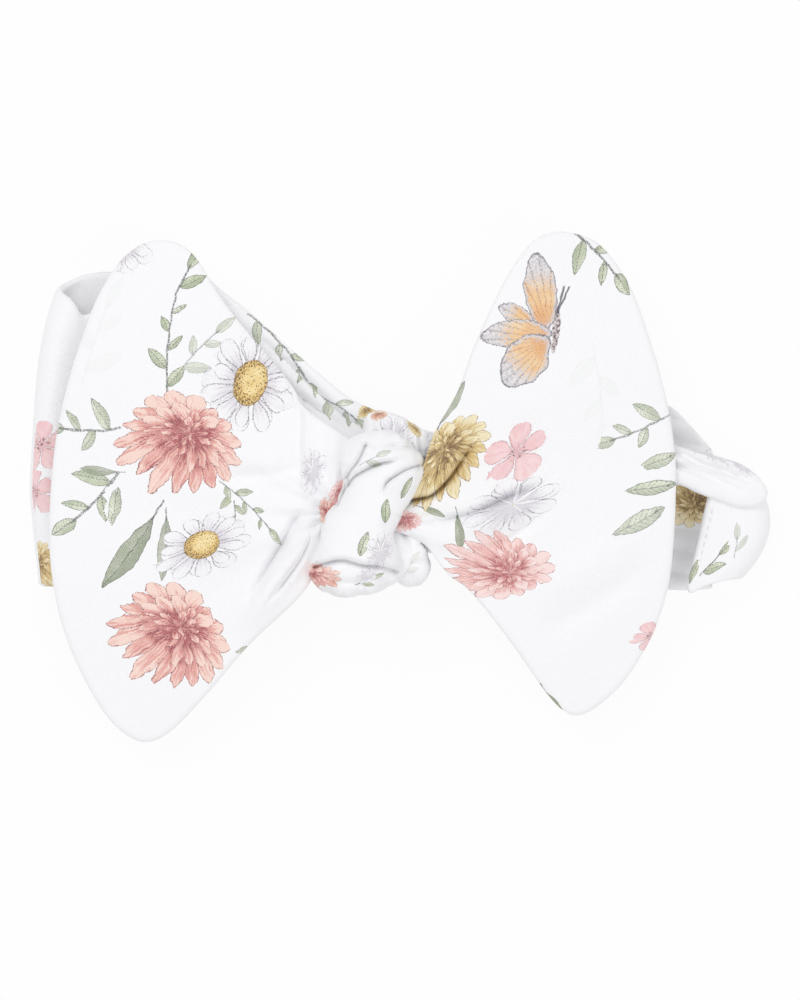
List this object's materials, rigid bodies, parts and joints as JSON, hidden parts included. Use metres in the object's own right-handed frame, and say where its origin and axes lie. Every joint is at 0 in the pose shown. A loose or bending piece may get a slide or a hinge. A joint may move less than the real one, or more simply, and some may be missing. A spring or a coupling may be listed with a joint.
{
  "type": "knotted headband",
  "caption": "Stretch jersey baby headband, one doubled strip closed in a flat loop and tied in a front knot with two large rounded ears.",
  "frame": {"origin": "on the surface that the headband lies on, under the centre of its bounding box", "axes": "+Z out of the front of the knot (up, as it lies on its back), +Y towards the top of the ears, +X towards the right ear as the viewer sees it"},
  "size_m": [0.1753, 0.1204, 0.0335],
  "materials": {
    "printed_jersey": "matt white stretch jersey with a scattered flower print",
    "lining_jersey": "matt white stretch jersey with the same print",
    "seam_allowance": "matt cut jersey edge inside the ear",
    "thread": "pale polyester sewing thread"
  },
  "bodies": {
    "back": {"back_outer_ply": "printed_jersey", "back_inner_ply": "lining_jersey", "left_fold_outer_ply": "printed_jersey", "left_fold_inner_ply": "lining_jersey", "right_fold_outer_ply": "printed_jersey", "right_fold_inner_ply": "lining_jersey"},
    "front": {"left_strand": "printed_jersey", "right_strand": "printed_jersey", "right_flare": "printed_jersey", "left_gather": "printed_jersey", "right_gather": "printed_jersey", "closing_stitches": "thread", "knot_core": "printed_jersey", "knot_front_wrap": "printed_jersey", "knot_back_wrap": "printed_jersey", "knot_lower_lobe": "printed_jersey", "left_neck": "printed_jersey", "right_neck": "printed_jersey"},
    "left_ear": {"left_ear_front_ply": "printed_jersey", "left_ear_back_ply": "lining_jersey", "left_ear_seam": "seam_allowance", "left_ear_root": "printed_jersey"},
    "right_ear": {"right_ear_front_ply": "printed_jersey", "right_ear_back_ply": "lining_jersey", "right_ear_seam": "seam_allowance", "right_ear_root": "printed_jersey"}
  },
  "joints": [
    {"name": "loop_open", "type": "slide", "parent": "back", "child": "front", "axis": [0, 0, 1], "range_m": [0, 0.03], "deforming": ["left_fold_outer_ply", "left_fold_inner_ply", "right_fold_outer_ply", "right_fold_inner_ply"]},
    {"name": "left_ear_fold", "type": "hinge", "parent": "front", "child": "left_ear", "pos_m": [-0.0215, 0, 0.022], "axis": [0, 1, 0], "range_deg": [0, 70]},
    {"name": "right_ear_fold", "type": "hinge", "parent": "front", "child": "right_ear", "pos_m": [0.008, 0, 0.022], "axis": [0, -1, 0], "range_deg": [0, 70]}
  ]
}
